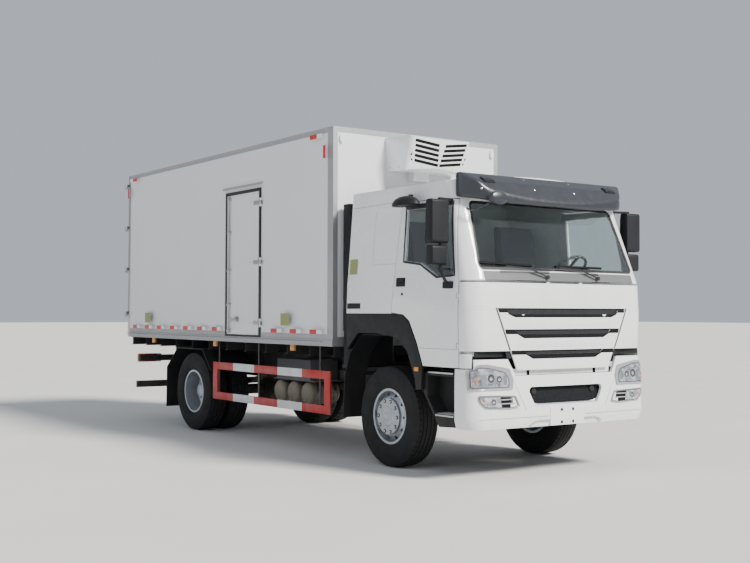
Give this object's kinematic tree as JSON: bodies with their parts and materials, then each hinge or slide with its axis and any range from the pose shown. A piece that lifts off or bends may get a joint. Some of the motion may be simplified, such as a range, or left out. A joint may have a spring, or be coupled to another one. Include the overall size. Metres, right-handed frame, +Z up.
{
  "type": "refrigerated truck",
  "caption": "Cab-over refrigerated truck with an insulated box body, front-mounted cooling unit, side door, hinged rear doors, tilting cab and steered front wheels.",
  "frame": {"origin": "on the ground, under the centre of the truck's outline", "axes": "+X to the truck's left (driver's) side, +Y to the rear, +Z up; the truck faces -Y"},
  "size_m": [2.95, 8.46, 3.7849],
  "materials": {
    "cab_paint": "gloss",
    "box_panel": "satin",
    "frame_paint": "satin",
    "axle_iron": "matte",
    "tyre": "matte",
    "wheel_paint": "satin",
    "black_plastic": "matte",
    "grey_plastic": "matte",
    "visor_plastic": "gloss",
    "aluminium": "satin",
    "steel": "brushed",
    "guard_paint": "satin",
    "tank_paint": "satin",
    "glass": "clear",
    "lamp_clear": "clear",
    "lamp_red": "clear",
    "lamp_amber": "clear",
    "seat_cloth": "matte",
    "seal_rubber": "matte"
  },
  "bodies": {
    "chassis": {"chassis_frame": "frame_paint", "front_axle": "axle_iron", "rear_axle": "axle_iron", "leaf_springs": "axle_iron", "driveline": "axle_iron", "box_subframe": "frame_paint", "box_floor": "box_panel", "box_roof": "box_panel", "box_front_wall": "box_panel", "box_left_wall": "box_panel", "box_right_wall": "box_panel", "box_rear_frame": "steel", "box_edge_rails": "aluminium", "fridge_unit": "cab_paint", "fuel_tank": "aluminium", "battery_and_air_tanks": "tank_paint", "side_guards": "guard_paint", "rear_mudguards": "black_plastic", "rear_bars": "frame_paint", "tail_lamps": "lamp_red", "marker_lamps": "lamp_amber", "bumper": "cab_paint", "front_lamps": "lamp_clear", "bumper_insert": "black_plastic", "step_boxes": "black_plastic", "front_mudguards": "black_plastic", "air_intake": "black_plastic"},
    "cab": {"cab_shell": "cab_paint", "cab_floor": "grey_plastic", "cab_flares": "black_plastic", "windscreen": "glass", "visor": "visor_plastic", "wipers": "grey_plastic", "seats": "seat_cloth", "dashboard": "grey_plastic"},
    "cab_door_left": {"door_left": "cab_paint", "glass_left": "glass", "mirror_left": "black_plastic"},
    "cab_door_right": {"door_right": "cab_paint", "glass_right": "glass", "mirror_right": "black_plastic"},
    "front_flap": {"front_flap": "cab_paint", "flap_grille": "black_plastic"},
    "steering_knuckle_left": {"knuckle_left": "axle_iron"},
    "steering_knuckle_right": {"knuckle_right": "axle_iron"},
    "tie_rod": {"tie_rod": "axle_iron"},
    "wheel_front_left": {"tyre_front_left": "tyre", "rim_front_left": "wheel_paint"},
    "wheel_front_right": {"tyre_front_right": "tyre", "rim_front_right": "wheel_paint"},
    "wheels_rear_left": {"tyres_rear_left": "tyre", "rims_rear_left": "wheel_paint"},
    "wheels_rear_right": {"tyres_rear_right": "tyre", "rims_rear_right": "wheel_paint"},
    "side_door": {"side_door": "box_panel", "side_door_seal": "seal_rubber"},
    "rear_door_left": {"rear_door_left": "box_panel"},
    "rear_door_right": {"rear_door_right": "box_panel"}
  },
  "joints": [
    {"name": "steer_left", "type": "hinge", "parent": "chassis", "child": "steering_knuckle_left", "pos_m": [0.87, -2.72, 0.541], "axis": [0, 0, 1], "range_deg": [-36, 36]},
    {"name": "steer_right", "type": "hinge", "parent": "chassis", "child": "steering_knuckle_right", "pos_m": [-0.87, -2.72, 0.541], "axis": [0, 0, 1], "range_deg": [-36, 36]},
    {"name": "tie_rod_turn", "type": "hinge", "parent": "steering_knuckle_left", "child": "tie_rod", "pos_m": [0.87, -2.54, 0.41], "axis": [0, 0, 1], "range_deg": [-36, 36]},
    {"name": "wheel_front_left_spin", "type": "hinge", "parent": "steering_knuckle_left", "child": "wheel_front_left", "pos_m": [1.025, -2.72, 0.541], "axis": [1, 0, 0], "continuous": true},
    {"name": "wheel_front_right_spin", "type": "hinge", "parent": "steering_knuckle_right", "child": "wheel_front_right", "pos_m": [-1.025, -2.72, 0.541], "axis": [1, 0, 0], "continuous": true},
    {"name": "wheels_rear_left_spin", "type": "hinge", "parent": "chassis", "child": "wheels_rear_left", "pos_m": [0.921, 1.88, 0.541], "axis": [1, 0, 0], "continuous": true},
    {"name": "wheels_rear_right_spin", "type": "hinge", "parent": "chassis", "child": "wheels_rear_right", "pos_m": [-0.921, 1.88, 0.541], "axis": [1, 0, 0], "continuous": true},
    {"name": "cab_tilt", "type": "hinge", "parent": "chassis", "child": "cab", "pos_m": [0, -4.11, 1], "axis": [1, 0, 0], "range_deg": [0, 50]},
    {"name": "cab_door_left_swing", "type": "hinge", "parent": "cab", "child": "cab_door_left", "pos_m": [1.228, -3.976, 1.575], "axis": [0, 0, -1], "range_deg": [0, 70]},
    {"name": "cab_door_right_swing", "type": "hinge", "parent": "cab", "child": "cab_door_right", "pos_m": [-1.228, -3.976, 1.575], "axis": [0, 0, 1], "range_deg": [0, 70]},
    {"name": "front_flap_lift", "type": "hinge", "parent": "cab", "child": "front_flap", "pos_m": [0, -4.182, 1.952], "axis": [-1, 0, 0], "range_deg": [0, 55]},
    {"name": "side_door_swing", "type": "hinge", "parent": "chassis", "child": "side_door", "pos_m": [-1.266, -0.094, 2.283], "axis": [0, 0, 1], "range_deg": [0, 170]},
    {"name": "rear_door_left_swing", "type": "hinge", "parent": "chassis", "child": "rear_door_left", "pos_m": [1.276, 4.204, 2.56], "axis": [0, 0, -1], "range_deg": [0, 255]},
    {"name": "rear_door_right_swing", "type": "hinge", "parent": "chassis", "child": "rear_door_right", "pos_m": [-1.276, 4.204, 2.56], "axis": [0, 0, 1], "range_deg": [0, 255]}
  ],
  "couplings": [
    {"joint": "steer_right", "follows": "steer_left", "ratio": 1},
    {"joint": "tie_rod_turn", "follows": "steer_left", "ratio": -1}
  ]
}
